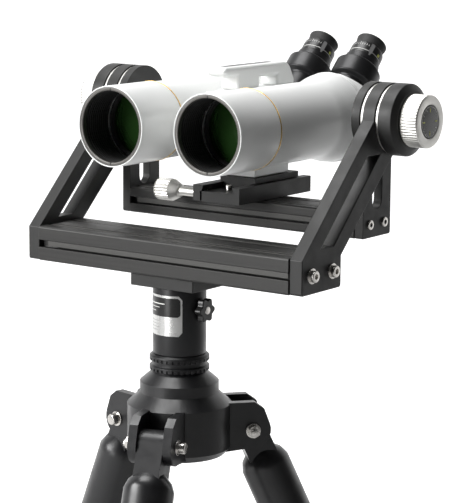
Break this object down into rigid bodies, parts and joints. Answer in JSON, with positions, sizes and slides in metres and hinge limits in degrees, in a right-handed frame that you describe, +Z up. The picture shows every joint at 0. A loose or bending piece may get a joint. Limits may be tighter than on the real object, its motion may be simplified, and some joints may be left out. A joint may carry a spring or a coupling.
{
  "type": "astronomy binoculars",
  "caption": "Large astronomy binoculars with angled eyepieces in a tilting cradle and fork mount, on a tripod with extending legs.",
  "frame": {"origin": "on the floor, in the middle of the base of the bounding box at rest, 49 mm to the -X side and 14 mm to the +Y side of the vertical azimuth axis", "axes": "+Z up; -Y is where the objectives look at rest and +Y is the observer's side; +X is to the right seen from the objectives' side looking along +Y"},
  "size_m": [0.5748, 0.684, 0.9948],
  "materials": {
    "white_enamel": "satin white enamel, very fine texture",
    "black_anodised": "fine bead-blasted black anodised aluminium",
    "black_casting": "semi-gloss black paint on an aluminium casting and tubes",
    "bright_aluminium": "bright brushed aluminium, knurled on the knobs",
    "stainless_steel": "plain stainless steel",
    "black_rubber": "soft matt black rubber",
    "coated_glass": "multi-coated optical glass with a dark green reflection",
    "black_plastic": "moulded black plastic"
  },
  "bodies": {
    "tripod": {"tripod_hub": "black_casting", "azimuth_spindle": "stainless_steel", "leg_pivot_bolt_1": "stainless_steel", "leg_pivot_bolt_2": "stainless_steel", "leg_pivot_bolt_3": "stainless_steel"},
    "leg_1": {"leg_upper_1": "black_casting"},
    "leg_extension_1": {"leg_lower_1": "bright_aluminium", "leg_foot_1": "black_rubber"},
    "leg_lock_1": {"leg_lock_knob_1": "black_plastic"},
    "leg_2": {"leg_upper_2": "black_casting"},
    "leg_extension_2": {"leg_lower_2": "bright_aluminium", "leg_foot_2": "black_rubber"},
    "leg_lock_2": {"leg_lock_knob_2": "black_plastic"},
    "leg_3": {"leg_upper_3": "black_casting"},
    "leg_extension_3": {"leg_lower_3": "bright_aluminium", "leg_foot_3": "black_rubber"},
    "leg_lock_3": {"leg_lock_knob_3": "black_plastic"},
    "azimuth_ring": {"azimuth_tension_ring": "black_anodised"},
    "fork": {"pier_sleeve": "black_anodised", "fork_base_plate": "black_anodised", "fork_crossbar": "black_anodised", "fork_arm_left": "black_anodised", "fork_arm_right": "black_anodised", "friction_washer_inner_left": "bright_aluminium", "friction_washer_inner_right": "bright_aluminium", "friction_washer_outer_left": "bright_aluminium", "friction_washer_outer_right": "bright_aluminium", "altitude_hub_left": "black_anodised", "altitude_hub_right": "black_anodised"},
    "azimuth_lock": {"azimuth_lock_knob": "black_plastic"},
    "cradle": {"cradle_crossbar": "black_anodised", "cradle_arm_left": "black_anodised", "cradle_arm_right": "black_anodised", "dovetail_clamp_base": "black_anodised", "dovetail_stop_screw": "stainless_steel"},
    "altitude_knob_left": {"altitude_knob_left": "bright_aluminium"},
    "altitude_knob_right": {"altitude_knob_right": "bright_aluminium"},
    "clamp_screw": {"dovetail_clamp_knob": "bright_aluminium"},
    "clamp_jaw": {"dovetail_clamp_jaw": "black_anodised"},
    "binocular": {"dovetail_plate": "black_anodised", "binocular_saddle": "white_enamel", "carry_handle": "white_enamel", "objective_hood_left": "white_enamel", "objective_hood_right": "white_enamel", "main_tube_left": "white_enamel", "main_tube_right": "white_enamel", "objective_lens_left": "coated_glass", "objective_lens_right": "coated_glass", "prism_housing_left": "white_enamel", "prism_housing_right": "white_enamel", "erecting_prism_left": "coated_glass", "erecting_prism_right": "coated_glass"},
    "turret_left": {"eyepiece_turret_left": "white_enamel"},
    "focus_left": {"focus_ring_left": "black_anodised"},
    "eyepiece_left": {"eyepiece_barrel_left": "black_plastic"},
    "eyecup_left": {"eyecup_left": "black_rubber"},
    "turret_right": {"eyepiece_turret_right": "white_enamel"},
    "focus_right": {"focus_ring_right": "black_anodised"},
    "eyepiece_right": {"eyepiece_barrel_right": "black_plastic"},
    "eyecup_right": {"eyecup_right": "black_rubber"}
  },
  "joints": [
    {"name": "leg_fold_1", "type": "hinge", "parent": "tripod", "child": "leg_1", "pos_m": [0.07384, -0.09119, 0.56], "axis": [0.9511, 0.309, 0], "range_deg": [0, 24]},
    {"name": "leg_extend_1", "type": "slide", "parent": "leg_1", "child": "leg_extension_1", "axis": [0.1257, -0.3868, -0.9135], "range_m": [0, 0.24]},
    {"name": "leg_lock_turn_1", "type": "hinge", "parent": "leg_1", "child": "leg_lock_1", "pos_m": [0.12437, -0.2467, 0.19276], "axis": [0.2823, -0.8688, 0.4067], "range_deg": [-180, 180]},
    {"name": "leg_fold_2", "type": "hinge", "parent": "tripod", "child": "leg_2", "pos_m": [0.1029, 0.04553, 0.56], "axis": [-0.7431, 0.6691, 0], "range_deg": [0, 24]},
    {"name": "leg_extend_2", "type": "slide", "parent": "leg_2", "child": "leg_extension_2", "axis": [0.2722, 0.3023, -0.9135], "range_m": [0, 0.24]},
    {"name": "leg_lock_turn_2", "type": "hinge", "parent": "leg_2", "child": "leg_lock_2", "pos_m": [0.21231, 0.16704, 0.19276], "axis": [0.6113, 0.6789, 0.4067], "range_deg": [-180, 180]},
    {"name": "leg_fold_3", "type": "hinge", "parent": "tripod", "child": "leg_3", "pos_m": [-0.03003, 0.00234, 0.56], "axis": [-0.2079, -0.9781, 0], "range_deg": [0, 24]},
    {"name": "leg_extend_3", "type": "slide", "parent": "leg_3", "child": "leg_extension_3", "axis": [-0.3978, 0.0846, -0.9135], "range_m": [0, 0.24]},
    {"name": "leg_lock_turn_3", "type": "hinge", "parent": "leg_3", "child": "leg_lock_3", "pos_m": [-0.18997, 0.03633, 0.19276], "axis": [-0.8936, 0.1899, 0.4067], "range_deg": [-180, 180]},
    {"name": "azimuth_tension_turn", "type": "hinge", "parent": "tripod", "child": "azimuth_ring", "pos_m": [0.0489, -0.01444, 0.64], "axis": [0, 0, 1], "range_deg": [-60, 60]},
    {"name": "azimuth_turn", "type": "hinge", "parent": "tripod", "child": "fork", "pos_m": [0.0489, -0.01444, 0.7], "axis": [0, 0, 1], "continuous": true},
    {"name": "azimuth_lock_turn", "type": "hinge", "parent": "fork", "child": "azimuth_lock", "pos_m": [0.0845, -0.01444, 0.702], "axis": [1, 0, 0], "range_deg": [-180, 180]},
    {"name": "altitude_tilt", "type": "hinge", "parent": "fork", "child": "cradle", "pos_m": [0.0489, 0.12656, 0.916], "axis": [-1, 0, 0], "range_deg": [-20, 90]},
    {"name": "altitude_knob_turn_left", "type": "hinge", "parent": "fork", "child": "altitude_knob_left", "pos_m": [-0.1781, 0.12656, 0.916], "axis": [-1, 0, 0], "range_deg": [-180, 180]},
    {"name": "altitude_knob_turn_right", "type": "hinge", "parent": "fork", "child": "altitude_knob_right", "pos_m": [0.2759, 0.12656, 0.916], "axis": [1, 0, 0], "range_deg": [-180, 180]},
    {"name": "clamp_screw_turn", "type": "hinge", "parent": "cradle", "child": "clamp_screw", "pos_m": [-0.0311, 0.06956, 0.819], "axis": [-1, 0, 0], "range_deg": [-720, 0]},
    {"name": "clamp_jaw_slide", "type": "slide", "parent": "cradle", "child": "clamp_jaw", "axis": [1, 0, 0], "range_m": [-0.0026, 0]},
    {"name": "balance_slide", "type": "slide", "parent": "cradle", "child": "binocular", "axis": [0, 1, 0], "range_m": [-0.012, 0.03]},
    {"name": "eye_spacing_left", "type": "hinge", "parent": "binocular", "child": "turret_left", "pos_m": [-0.0185, 0.28556, 0.9099], "axis": [0, -0.7071, -0.7071], "range_deg": [-10, 14]},
    {"name": "focus_turn_left", "type": "hinge", "parent": "turret_left", "child": "focus_left", "pos_m": [0.0138, 0.28576, 0.9385], "axis": [0, 0.7071, 0.7071], "range_deg": [-180, 180]},
    {"name": "focus_slide_left", "type": "slide", "parent": "turret_left", "child": "eyepiece_left", "axis": [0, 0.7071, 0.7071], "range_m": [-0.0031, 0.0031]},
    {"name": "eyecup_raise_left", "type": "slide", "parent": "eyepiece_left", "child": "eyecup_left", "axis": [0, 0.7071, 0.7071], "range_m": [0, 0.005]},
    {"name": "eye_spacing_right", "type": "hinge", "parent": "binocular", "child": "turret_right", "pos_m": [0.1163, 0.28556, 0.9099], "axis": [0, 0.7071, 0.7071], "range_deg": [-10, 14]},
    {"name": "focus_turn_right", "type": "hinge", "parent": "turret_right", "child": "focus_right", "pos_m": [0.084, 0.28576, 0.9385], "axis": [0, 0.7071, 0.7071], "range_deg": [-180, 180]},
    {"name": "focus_slide_right", "type": "slide", "parent": "turret_right", "child": "eyepiece_right", "axis": [0, 0.7071, 0.7071], "range_m": [-0.0031, 0.0031]},
    {"name": "eyecup_raise_right", "type": "slide", "parent": "eyepiece_right", "child": "eyecup_right", "axis": [0, 0.7071, 0.7071], "range_m": [0, 0.005]}
  ],
  "couplings": [
    {"joint": "clamp_jaw_slide", "follows": "clamp_screw_turn", "m_per_rad": 0.00019894},
    {"joint": "focus_slide_left", "follows": "focus_turn_left", "m_per_rad": 0.00095493},
    {"joint": "focus_slide_right", "follows": "focus_turn_right", "m_per_rad": 0.00095493}
  ]
}
